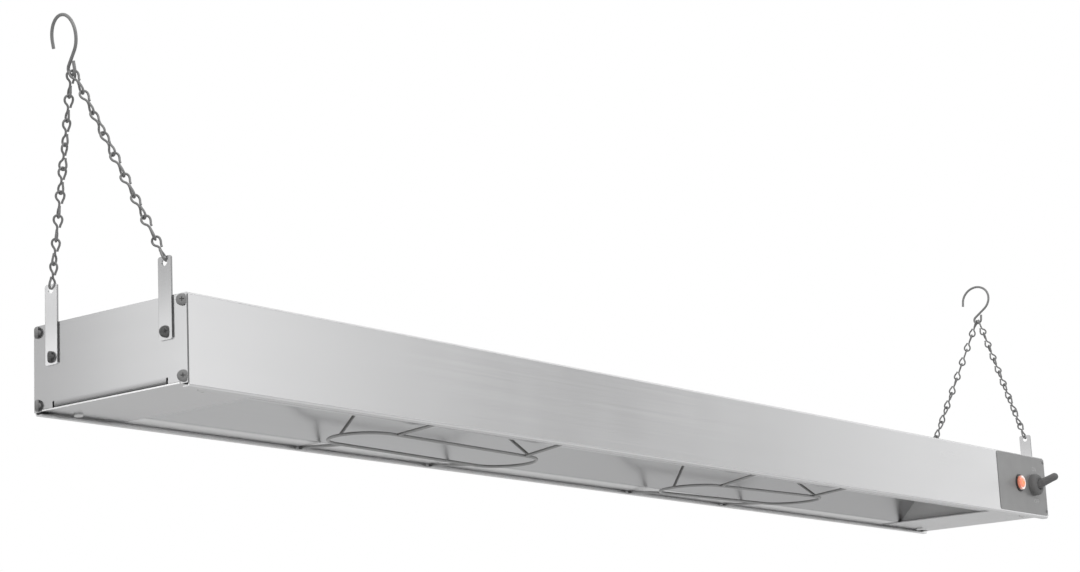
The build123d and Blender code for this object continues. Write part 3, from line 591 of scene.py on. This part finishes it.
class LAMP_OT_sheet_metal(Operator):
    """Finish the housing, end plates, covers, straps, reflector, bulkheads and element clips"""

    bl_idname = "lamp.sheet_metal"
    bl_label = "Sheet metal"

    def execute(self, context):
        look = context.scene.lamp_finish
        steel = tuple(look.steel)
        dull = look.steel_roughness
        # Colour of the painted highlight on the housing's roundings
        bright = shade(steel, 1.4)
        # Colour of the painted shade along the end plates' cut sides
        dark = shade(steel, 0.3)
        channel_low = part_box("housing_channel")[0].z
        plate_low, plate_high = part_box("end_plate_right")
        end, side = plate_high.x, plate_high.y
        strap_low, strap_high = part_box("hanger_strap_right_far")
        strap_half = (strap_high.y - strap_low.y) / 2
        strap_middle = (strap_high.y + strap_low.y) / 2
        # How far inside an outline the band of painted shade along its cut edge starts, and where it is
        # full
        edge_start, edge_full = 0.0002, 0.0001

        def painted_bend_light(finish, x, y, z):
            """The turned-in lips, painted a little lighter and less metallic, and a painted highlight on
            the roundings between them and the sides.
            """
            lips = finish.step(z, channel_low + 0.0012, channel_low + 0.0006)
            height = finish.step(z, channel_low + 0.0022, channel_low + 0.0004)
            # The roundings get a painted highlight, and the lips are painted a little lighter and less
            # metallic
            rounding = height * finish.step(abs(y), side - 0.0015, side - 0.0008)
            return [(lips, shade(steel, 1.04), 0.8), (rounding, bright, 1.0)]

        def plate_painted_shade(finish, x, y, z):
            """Painted shade on the plate: darker towards its far part, along its bottom fold between the
            notches, and along its cut sides.
            """
            shaded = finish.step(y, side * -0.5, side * 0.9) * 0.45
            fold_end, fold_full = 0.0545, 0.053
            height = finish.step(z, plate_low.z + 0.0066, plate_low.z + 0.0018)
            fold = height * finish.step(abs(y), fold_end, fold_full)
            cut = finish.step(abs(y), side - edge_start, side - edge_full)
            return [
                (shaded, shade(steel, 0.72), 1.0),
                (fold, shade(steel, 0.42), 1.0),
                (cut, dark, 1.0),
            ]

        def strap_painted_light(foot, top):
            """Painted light and shade on a strap: its steel goes from one painted shade at its foot to
            another at its top, and its cut sides get painted shade.
            """

            def marks(finish, x, y, z):
                aside = abs(abs(y) - strap_middle)
                cut = finish.step(aside, strap_half - edge_start, strap_half - edge_full)
                rise = finish.step(z, strap_low.z + 0.006, strap_high.z - 0.004)
                return [
                    (1.0 - rise, shade(steel, foot), 1.0),
                    (rise, shade(steel, top), 1.0),
                    (cut, shade(steel, 0.45), 1.0),
                ]

            return marks

        def cover_edge_highlight(finish, x, y, z):
            """A painted highlight: the cut edge at each cover's outer end is painted near-white."""
            return [(finish.step(abs(x), end - 0.0004, end - 0.0002), (0.97, 0.97, 0.97), 1.0)]

        def flanges(finish, x, y, z):
            """Painted light and shade on the reflector: painted shade growing from left to right, the far
            flange painted near-white and almost not metallic as painted light, and the near flange painted
            darker.
            """
            flange_start, flange_full, reach = 0.048, 0.052, 0.45
            far = finish.step(y, flange_start, flange_full)
            near = finish.step(y, -flange_start, -flange_full)
            along = finish.step(x, -reach, reach)
            # Painted shade along the length, painted light on the far flange, painted shade on the near
            # flange
            return [
                (along, shade(steel, 0.9), 1.0),
                (far, (0.92, 0.92, 0.92), 0.05),
                (near, shade(steel, 0.86), 0.7),
            ]

        housing = brushed_metal(
            "Housing stainless", steel, dull, grain=(5, 900, 900), strength=0.4, marks=painted_bend_light
        )
        housing.on("housing_channel")
        covers = brushed_metal(
            "Cover stainless", shade(steel, 0.97), dull, grain=(5, 800, 800), strength=0.4,
            marks=cover_edge_highlight,
        )
        covers.on("bottom_cover_left", "bottom_cover_right")
        plates = brushed_metal(
            "End plate stainless", steel, dull, grain=(900, 6, 900), strength=0.4, marks=plate_painted_shade
        )
        plates.on("end_plate_left", "end_plate_right")
        # The near and far straps are lit and shaded copies of one steel, with painted light and shade
        for row, foot, top in (("near", 1.05, 0.7), ("far", 1.48, 1.28)):
            straps = brushed_metal(
                "Strap stainless, " + row, steel, dull, grain=(700, 700, 8), strength=0.5,
                marks=strap_painted_light(foot, top),
            )
            straps.on("hanger_strap_left_" + row, "hanger_strap_right_" + row)
        trough = brushed_metal(
            "Bright reflector", tuple(look.reflector), roughness=0.3, grain=(4, 500, 500), strength=0.4,
            marks=flanges,
        )
        trough.on("reflector")
        bulkheads = plated_metal("Bulkhead plate", (0.6, 0.6, 0.6), roughness=0.6, metallic=0.15)
        bulkheads.on("bulkhead_left", "bulkhead_right")
        clips = plated_metal("Zinc plate", (0.55, 0.55, 0.54), roughness=0.35)
        clips.on("element_clip_left", "element_clip_middle", "element_clip_right")
        return {"FINISHED"}


class LAMP_OT_hanging(Operator):
    """Finish the chains, the hooks and the wire guards"""

    bl_idname = "lamp.hanging"
    bl_label = "Chains, hooks and guards"

    def execute(self, context):
        wire = tuple(context.scene.lamp_finish.wire)
        chains = plated_metal("Chain wire", shade(wire, 0.6), roughness=0.5, metallic=0.4)
        chains.on("chain_left_near", "chain_left_far", "chain_right_near", "chain_right_far")
        hooks = plated_metal("Hook wire", shade(wire, 0.66), roughness=0.45, metallic=0.4)
        hooks.on("hook_left", "hook_right")
        guards = plated_metal("Guard wire", shade(wire, 0.9), roughness=0.28)
        guards.on("wire_guard_left", "wire_guard_right")
        return {"FINISHED"}


def cross_head(name, radius, height, shank_radius, shank_length, recess):
    """A pan-head screw along +Z with a tapered cross recess. Its seat is at zero."""
    rings = [
        (shank_radius * 0.7, -shank_length),
        (shank_radius, -shank_length + shank_radius * 0.4),
        (shank_radius, 0),
        (radius * 0.97, 0),
        (radius, height * 0.08),
        (radius, height * 0.42),
        (radius * 0.965, height * 0.62),
        (radius * 0.88, height * 0.8),
        (radius * 0.74, height * 0.93),
        (radius * 0.5, height),
    ]
    screw = turned(name, rings, 48)
    for turn in (0, pi / 2):
        bpy.ops.object.select_all(action="DESELECT")
        bpy.ops.mesh.primitive_cube_add(size=1)
        cutter = added("recess_cutter")
        cutter.scale = (radius * 1.05, radius * recess, height * 0.9)
        settle(cutter, (0, 0, height), (0, 0, turn))
        edit(cutter)
        pick(cutter, lambda centre, normal: normal.z < -0.9)
        bpy.ops.transform.resize(value=(0.55, 0.55, 1), center_override=(0, 0, 0))
        close_edit()
        modify(screw, "BOOLEAN", operation="DIFFERENCE", solver="EXACT", object=cutter)
        remove(cutter)
    smooth(screw, 40)
    return screw


class LAMP_OT_screws(Operator):
    """Model the screws of the end plates, straps and covers"""

    bl_idname = "lamp.screws"
    bl_label = "Screws"

    def execute(self, context):
        look = context.scene.lamp_finish
        sizes = context.scene.lamp_fasteners
        radius, height = sizes.head_radius, sizes.head_height
        screw = cross_head(
            "large_screw", radius, height, sizes.shank_radius, sizes.shank_length, sizes.recess
        )
        dull = plated_metal("Dull screws", tuple(look.screws), roughness=0.65, metallic=0.1)
        dull.set(Specular_IOR_Level=0.2)
        bright = plated_metal("Bright screws", tuple(look.bright_screws), roughness=0.2)
        # How far the crosses stand turned, in radians
        recess_turn, cover_recess_turn = 0.7, 0.5
        for node, name in (
            ("end_plate_screws", "end_plate_cross_screws"),
            ("strap_screws", "strap_cross_screws"),
        ):
            low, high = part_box(node)
            # With one row, the two heights differ by rounding alone, and each screw is made twice
            heights = {low.z + radius, high.z - radius}
            places = [
                (
                    (end * (high.x - height), side * (high.y - radius), z),
                    (recess_turn * side * end, end * pi / 2, 0),
                )
                for end in (-1, 1)
                for side in (-1, 1)
                for z in sorted(heights)
            ]
            group = copies(screw, name, places)
            dull.on(name)
            finished(group, "housing", "screw_steel", node)
        remove(screw)
        radius, height = sizes.cover_head_radius, sizes.cover_head_height
        screw = cross_head(
            "small_screw", radius, height, sizes.cover_shank_radius, sizes.cover_shank_length, sizes.recess
        )
        low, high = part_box("cover_screws")
        places = [
            ((x, side * (high.y - radius), low.z + height), (pi, 0, cover_recess_turn * side))
            for x in (low.x + radius, high.x - radius)
            for side in (-1, 1)
        ]
        group = copies(screw, "cover_cross_screws", places)
        remove(screw)
        bright.on("cover_cross_screws")
        finished(group, "housing", "screw_steel", "cover_screws")
        return {"FINISHED"}


class LAMP_OT_label(Operator):
    """Finish the control label and print ON and OFF on it"""

    bl_idname = "lamp.label"
    bl_label = "Control label"

    def execute(self, context):
        look = context.scene.lamp_finish
        sizes = context.scene.lamp_marks
        label = moulded(
            "Label film", tuple(look.label), roughness=0.38, grain=1500.0, depth=0.00002, Coat_Weight=0.15
        )
        label.on("control_label")
        ink = moulded("Label ink", tuple(look.ink), roughness=0.5)
        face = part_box("control_label")[0].y
        pivot = Vector(joints["toggle_throw"]["pos_m"])
        for word, side in (("ON", 1), ("OFF", -1)):
            bpy.ops.object.select_all(action="DESELECT")
            bpy.ops.object.text_add()
            mark = bpy.context.active_object
            mark.data.body = word
            mark.data.size = sizes.letter_size
            mark.data.align_x = "CENTER"
            mark.data.align_y = "CENTER"
            mark.data.extrude = sizes.relief
            choose(mark)
            bpy.ops.object.convert(target="MESH")
            mark = added("word_" + word.lower())
            settle(mark, (pivot.x + sizes.aside, face, pivot.z + side * sizes.offset), (pi / 2, 0, 0))
            ink.on(mark.name)
            finished(mark, "housing", "label_film")
        return {"FINISHED"}


class LAMP_OT_pilot_light(Operator):
    """Model the lit lens of the pilot light, and finish its bezel and body"""

    bl_idname = "lamp.pilot_light"
    bl_label = "Pilot light"

    def execute(self, context):
        look = context.scene.lamp_finish
        low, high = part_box("indicator_lens")
        bezel_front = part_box("indicator_bezel")[0].y
        centre = (low + high) / 2
        cap = (high.x - low.x) / 2 * context.scene.lamp_controls.lens_share
        seat = high.y - bezel_front
        depth = high.y - low.y
        dome = depth - seat
        # A rim, a groove inside it and a low dome, as shares of the radius and of the height
        profile = (
            (0.98, 0.0),
            (1.0, 0.05),
            (1.0, 0.56),
            (0.98, 0.65),
            (0.93, 0.7),
            (0.82, 0.7),
            (0.76, 0.6),
            (0.72, 0.64),
            (0.62, 0.8),
            (0.46, 0.91),
            (0.25, 0.98),
            (0.05, 1.0),
        )
        rings = [(cap * 0.86, 0), (cap * 0.86, seat)]
        rings += [(cap * across, seat + dome * out) for across, out in profile]
        lens = turned("pilot_lens", rings, 72)
        smooth(lens, 30)
        settle(lens, (centre.x, high.y, centre.z), (pi / 2, 0, 0))
        finish = Finish(
            "Lit lens", Roughness=0.12, Coat_Weight=0.6, Coat_Roughness=0.05, Emission_Strength=0.75
        )
        place = finish.moved(finish.place(), location=(-centre.x, 0, -centre.z))
        x, _, z = finish.parts(place)
        radius = (x * x + z * z) ** 0.5
        rim = finish.step(radius, cap * 0.66, cap * 0.78)
        # Painted highlight: the rim is painted paler towards its right
        rim_highlight = finish.step(x, cap * -0.75, cap * 0.1)
        aside = x - cap * 0.1
        heart = 1.0 - finish.step((aside * aside + z * z) ** 0.5, 0, cap * 0.6)
        glow = tuple(look.glow)
        edge = finish.mix(rim_highlight, (0.75, 0.3, 0.2), (0.95, 0.85, 0.82))
        middle_light = finish.mix(heart, glow, (1.0, 0.4, 0.12))
        # The rim also glows paler towards its right, a painted highlight in the emission
        edge_light = finish.mix(rim_highlight, (0.3, 0.06, 0.03), (0.6, 0.45, 0.42))
        finish.set(
            Base_Color=finish.mix(rim, shade(glow, 0.8), edge),
            Emission_Color=finish.mix(rim, middle_light, edge_light),
        )
        finish.on("pilot_lens")
        finished(lens, "housing", "amber_lens", "indicator_lens")
        moulded("Bezel plastic", (0.035, 0.035, 0.037), roughness=0.4).on("indicator_bezel")
        moulded("Body plastic", (0.05, 0.05, 0.05), roughness=0.5).on("indicator_body")
        return {"FINISHED"}


class LAMP_OT_switch(Operator):
    """Model the switch's rubber collar and lever, and finish its inner parts"""

    bl_idname = "lamp.switch"
    bl_label = "Toggle switch"

    def execute(self, context):
        look = context.scene.lamp_finish
        rubber = moulded(
            "Switch rubber", tuple(look.rubber), roughness=0.75, grain=1400.0, depth=0.00005,
            Specular_IOR_Level=0.25,
        )
        pivot = Vector(joints["toggle_throw"]["pos_m"])
        low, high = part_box("switch_boot")
        radius = (high.x - low.x) / 2
        depth = high.y - low.y
        sizes = context.scene.lamp_controls
        mouth, inside, edge = sizes.collar_mouth, sizes.collar_bore, sizes.collar_round
        # From the back: a grooved side, the rounded front edge, a groove round the mouth, and the bore
        rings = [
            (inside, 0),
            (radius * 0.985, 0),
            (radius, depth * 0.04),
            (radius, depth * 0.2),
            (radius * 0.98, depth * 0.24),
            (radius * 0.98, depth * 0.3),
            (radius, depth * 0.34),
        ]
        for turn in (0, 18, 36, 54, 72, 90):
            out = radians(turn)
            rings.append((radius - edge + edge * cos(out), depth - edge + edge * sin(out)))
        rings += [
            (mouth * 1.24, depth),
            (mouth * 1.2, depth * 0.965),
            (mouth * 1.1, depth * 0.965),
            (mouth * 1.05, depth),
            (mouth, depth * 0.98),
            (mouth, depth * 0.79),
            (inside, depth * 0.77),
        ]
        collar = turned("switch_collar", rings, 72)
        edit(collar)
        pick(collar, lambda centre, normal: Vector((centre.x, centre.y)).length < inside * 0.5)
        bpy.ops.mesh.delete(type="FACE")
        bpy.ops.mesh.select_mode(type="EDGE")
        bpy.ops.mesh.select_non_manifold()
        bpy.ops.mesh.bridge_edge_loops()
        bpy.ops.mesh.select_all(action="SELECT")
        bpy.ops.mesh.normals_make_consistent(inside=False)
        close_edit()
        smooth(collar, 35)
        settle(collar, (pivot.x, high.y, pivot.z), (pi / 2, 0, 0))
        rubber.on("switch_collar")
        finished(collar, "housing", "black_rubber", "switch_boot")
        lift, reach, tip = sizes.lever_lift, sizes.lever_reach, sizes.lever_tip
        ball, neck, rib = sizes.lever_ball, sizes.lever_neck, sizes.lever_rib
        # From the pivot: the ball, a cone, two ribs, a slight taper and a round tip
        rings = []
        for turn in (-56, -45, -25, 0, 20):
            rings.append((ball * cos(radians(turn)), ball * sin(radians(turn))))
        rings += [(0.0043, 0.0028), (0.0041, 0.0038)]
        first_rib = 0.0046
        for start in (first_rib, first_rib + sizes.rib_pitch):
            rings += [
                (neck, start),
                (rib, start + 0.0003),
                (rib, start + 0.0009),
                (neck, start + 0.0012),
            ]
        rings += [(0.0039, 0.01), (tip * 0.985, 0.015), (tip, reach - tip)]
        for turn in (20, 40, 60, 75, 86):
            out = radians(turn)
            rings.append((tip * cos(out), reach - tip + tip * sin(out)))
        sleeve = turned("lever_sleeve", rings, 48)
        smooth(sleeve, 35)
        settle(sleeve, pivot, (pi / 2 - lift, 0, 0))
        rubber.on("lever_sleeve")
        finished(sleeve, "toggle", "black_rubber", "lever_cover")
        moulded("Switch case", (0.045, 0.045, 0.05), roughness=0.5).on("switch_body")
        hardware = plated_metal("Switch hardware", (0.6, 0.6, 0.58), roughness=0.3)
        hardware.on("switch_thread", "switch_nut", "lever_core")
        return {"FINISHED"}


class LAMP_OT_heater(Operator):
    """Finish the heating element and its fittings, and model the insulation blanket"""

    bl_idname = "lamp.heater"
    bl_label = "Heating element"

    def execute(self, context):
        sheath = Finish("Heat-dulled sheath", Metallic=1.0)
        place = sheath.place()
        clouds = sheath.noise(sheath.moved(place, scale=(12, 60, 60)), 1.0, 4.0, 0.6)
        specks = sheath.noise(place, 900.0, 2.0)
        along = sheath.parts(place)[0]
        cold_end, hot_end = 0.53, 0.49
        hot = sheath.step(abs(along), cold_end, hot_end)
        tinted = sheath.mix(clouds, (0.2, 0.18, 0.16), (0.34, 0.31, 0.27))
        sheath.set(
            Base_Color=sheath.mix(hot, (0.5, 0.48, 0.44), tinted),
            Roughness=0.36 + clouds * 0.2 + (specks - 0.5) * 0.1,
            Normal=sheath.bump(specks, 0.15, 0.00005),
        )
        sheath.on("heating_element")
        brass = plated_metal("Terminal brass", (0.72, 0.55, 0.26), roughness=0.3)
        brass.on("terminal_nuts", "earth_nut", "terminal_block_screws")
        plain_steel = plated_metal("Terminal steel", (0.58, 0.58, 0.56), roughness=0.3)
        plain_steel.on("terminal_pins", "earth_stud")
        ceramic = moulded(
            "Glazed ceramic", (0.78, 0.74, 0.64), roughness=0.35, grain=500.0, depth=0.00006,
            Coat_Weight=0.3,
        )
        ceramic.on("element_bushing_left", "element_bushing_right")
        self.blanket(context.scene.lamp_blanket)
        wool = Finish("Fibre blanket", Roughness=0.95)
        place = wool.place()
        fibres = wool.noise(wool.moved(place, scale=(160, 420, 420)), 1.0, 4.0, 0.7)
        lumps = wool.noise(place, 35.0, 3.0)
        wool.set(
            Base_Color=wool.mix(fibres, (0.66, 0.63, 0.56), (0.86, 0.84, 0.79)),
            Normal=wool.bump(fibres * 0.6 + lumps, 0.6, 0.0006),
        )
        wool.on("fibre_blanket")
        return {"FINISHED"}

    def blanket(self, sizes):
        """A soft blanket folded over the trough, drawn in along its sewn seams."""
        low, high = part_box("insulation_blanket")
        size = high - low
        centre = (low + high) / 2
        bpy.ops.object.select_all(action="DESELECT")
        bpy.ops.mesh.primitive_cube_add(size=1)
        pad = added("fibre_blanket")
        pad.scale = [part - 2 * sizes.margin for part in size]
        settle(pad, centre)
        bpy.ops.object.mode_set(mode="EDIT")
        for across in (-sizes.knee, -sizes.crown, sizes.crown, sizes.knee):
            bpy.ops.mesh.select_all(action="SELECT")
            bpy.ops.mesh.bisect(plane_co=(0, across, 0), plane_no=(0, 1, 0))
        bpy.ops.mesh.select_mode(type="FACE")
        pick(pad, lambda middle, normal: normal.z < -0.9 and abs(middle.y) < sizes.crown)
        bpy.ops.transform.translate(value=(0, 0, sizes.rise))
        pitch = size.x / (sizes.seams + 1)
        seams = [low.x + pitch * (number + 1) for number in range(sizes.seams)]
        dent = pitch * 0.12
        seam_width = dent * 0.4
        for seam in seams:
            for place in (seam - dent, seam, seam + dent):
                bpy.ops.mesh.select_all(action="SELECT")
                bpy.ops.mesh.bisect(plane_co=(place, 0, 0), plane_no=(1, 0, 0))
        close_edit()
        pinch = (1, 0.985, 0.95)
        pinch_height = high.z - size.z * 0.3
        for seam in seams:
            edit(pad)
            bpy.ops.mesh.select_mode(type="VERT")
            mesh = bmesh.from_edit_mesh(pad.data)
            for point in mesh.verts:
                point.select_set(abs(point.co.x - seam) < seam_width / 2)
            mesh.select_flush_mode()
            bmesh.update_edit_mesh(pad.data)
            bpy.ops.transform.resize(value=pinch, center_override=(seam, 0, pinch_height))
            close_edit()
        sharp = radians(30)
        modify(pad, "BEVEL", width=sizes.edge_round, segments=2, limit_method="ANGLE", angle_limit=sharp)
        modify(pad, "SUBSURF", levels=1, render_levels=1)
        smooth(pad, 60)
        finished(pad, "housing", "fibre_blanket", "insulation_blanket")


class LAMP_OT_wiring(Operator):
    """Finish the terminal block, the inlet bushing and the leads"""

    bl_idname = "lamp.wiring"
    bl_label = "Wiring"

    def execute(self, context):
        moulded("Block plastic", (0.72, 0.68, 0.58), roughness=0.45).on("terminal_block")
        moulded("Inlet plastic", (0.04, 0.04, 0.04), roughness=0.45).on("cord_inlet_bushing")
        sleeve = braided("Lead sleeve", (0.62, 0.58, 0.5), thread=(0.82, 0.79, 0.72))
        sleeve.on("return_lead", "element_lead", "switch_lead", "lamp_leads")
        earth = Finish("Earth lead", Roughness=0.45)
        x, y, z = earth.parts(earth.moved(earth.place(), scale=(900, 900, 900)))
        stripe = earth.step(earth.maths("SINE", x + y + z), -0.1, 0.1)
        earth.set(
            Base_Color=earth.mix(stripe, (0.06, 0.28, 0.06), (0.75, 0.65, 0.08)),
            Normal=earth.bump(stripe, 0.1, 0.00005),
        )
        earth.on("earth_lead")
        return {"FINISHED"}


class LAMP_OT_stage(Operator):
    """Set up the camera, the floor, the sky and the key light"""

    bl_idname = "lamp.stage"
    bl_label = "Stage"

    def execute(self, context):
        stage = context.scene.lamp_stage
        context.scene.view_settings.view_transform = "Standard"
        bpy.ops.object.select_all(action="DESELECT")
        bpy.ops.object.camera_add(location=stage.camera_place, rotation=stage.camera_turn)
        camera = bpy.context.active_object
        camera.data.lens = stage.lens
        camera.data.sensor_width = 36
        camera.data.clip_start = 0.05
        context.scene.camera = camera
        bpy.ops.object.select_all(action="DESELECT")
        bpy.ops.mesh.primitive_plane_add(size=stage.floor_size, location=(0, 0, stage.floor_height))
        floor = added("floor")
        settle(floor, (0, 0, stage.floor_height))
        paint = Finish("Floor paint", Roughness=0.9, Specular_IOR_Level=0.2)
        mottle = paint.noise(paint.place(), 1.5, 2.0)
        colour = tuple(stage.floor_colour)
        paint.set(Base_Color=paint.mix(mottle, shade(colour, 0.99), shade(colour, 1.01)))
        paint.on("floor")
        self.sky(context, stage)
        self.key_light(stage)
        return {"FINISHED"}

    def sky(self, context, stage):
        """A soft sky, white where the camera looks and darker behind it.

        It has a bright panel with a dark strip for the front to reflect, and a panel at the left
        with a dim band beside it.
        """
        world = bpy.data.worlds.new("Soft sky")
        context.scene.world = world
        tree = Tree(world)
        direction = tree.add("ShaderNodeTexCoord", {}, {}, "Generated")
        x, y, z = tree.parts(direction)
        axis = stage.white_axis
        ahead = x * axis[0] + y * axis[1] + z * axis[2]
        white = tree.step(ahead, 0.905, 0.968)
        behind = tree.step(ahead, -0.2, -0.9)
        below = tree.step(z, 0.0, -0.3)
        bearing = tree.maths("ARCTAN2", y, x)
        from_strip = abs(bearing + stage.strip_bearing)
        panel = tree.step(from_strip, 0.75, 0.35)
        strip = tree.step(from_strip, 0.15, 0.01)
        blur = 0.03
        left = tree.step(bearing, stage.left_bearing - blur, stage.left_bearing + blur)
        left_panel = left * tree.step(bearing, 3.0, 2.7)
        left_dim = (1.0 - left) * tree.step(bearing, 1.9, 2.1)
        overhead = tree.step(z, 0.3, 0.9)
        # How much each part of the sky adds to its level or takes from it
        panel_gain, strip_loss, left_gain, left_loss = 0.7, 1.12, 0.85, 0.3
        overhead_gain, behind_loss, below_loss = 0.25, 0.42, 0.1
        level = stage.sky_level + panel * (panel_gain - strip * strip_loss)
        level = level + left_panel * left_gain - left_dim * left_loss
        level = level + overhead * overhead_gain - behind * behind_loss - below * below_loss
        shown = tree.clamp(level + white * (1.0 - level), stage.sky_floor, stage.sky_limit)
        background = tree.nodes["Background"].inputs
        tree.join(background["Color"], tree.mix(shown / stage.sky_limit, (0, 0, 0), (1, 1, 1)))
        tree.join(background["Strength"], stage.sky_limit)

    def key_light(self, stage):
        """One large soft light over the camera's side, aimed at the lamp."""
        place = Vector(stage.key_place)
        bpy.ops.object.select_all(action="DESELECT")
        turn = (-place).to_track_quat("-Z", "Y").to_euler()
        bpy.ops.object.light_add(type="AREA", location=place, rotation=turn)
        light = bpy.context.active_object
        light.name = "key_light"
        light.data.shape = "RECTANGLE"
        light.data.size, light.data.size_y = stage.key_size
        light.data.energy = stage.key_power


OPERATORS = (
    LAMP_OT_stage,
    LAMP_OT_sheet_metal,
    LAMP_OT_hanging,
    LAMP_OT_screws,
    LAMP_OT_label,
    LAMP_OT_pilot_light,
    LAMP_OT_switch,
    LAMP_OT_heater,
    LAMP_OT_wiring,
)
GROUPS = {
    "lamp_stage": LampStage,
    "lamp_finish": LampFinish,
    "lamp_fasteners": LampFasteners,
    "lamp_blanket": LampBlanket,
    "lamp_controls": LampControls,
    "lamp_marks": LampMarks,
}


class LAMP_PT_panel(Panel):
    """The steps that dress the lamp"""

    bl_idname = "LAMP_PT_panel"
    bl_label = "Strip heat lamp"
    bl_space_type = "VIEW_3D"
    bl_region_type = "UI"
    bl_category = "Heat lamp"

    def draw(self, context):
        for group in GROUPS:
            box = self.layout.box()
            values = getattr(context.scene, group)
            for name in values.bl_rna.properties.keys():
                if name not in ("rna_type", "name"):
                    box.prop(values, name)
        for operator in OPERATORS:
            self.layout.operator(operator.bl_idname)


def register():
    for group in (*GROUPS.values(), *OPERATORS, LAMP_PT_panel):
        bpy.utils.register_class(group)
    for name, group in GROUPS.items():
        setattr(bpy.types.Scene, name, PointerProperty(type=group))


def unregister():
    for name in GROUPS:
        delattr(bpy.types.Scene, name)
    for group in reversed((*GROUPS.values(), *OPERATORS, LAMP_PT_panel)):
        bpy.utils.unregister_class(group)


def main():
    register()
    for operator in OPERATORS:
        area, name = operator.bl_idname.split(".")
        getattr(getattr(bpy.ops, area), name)()


if __name__ == "__main__":
    main()
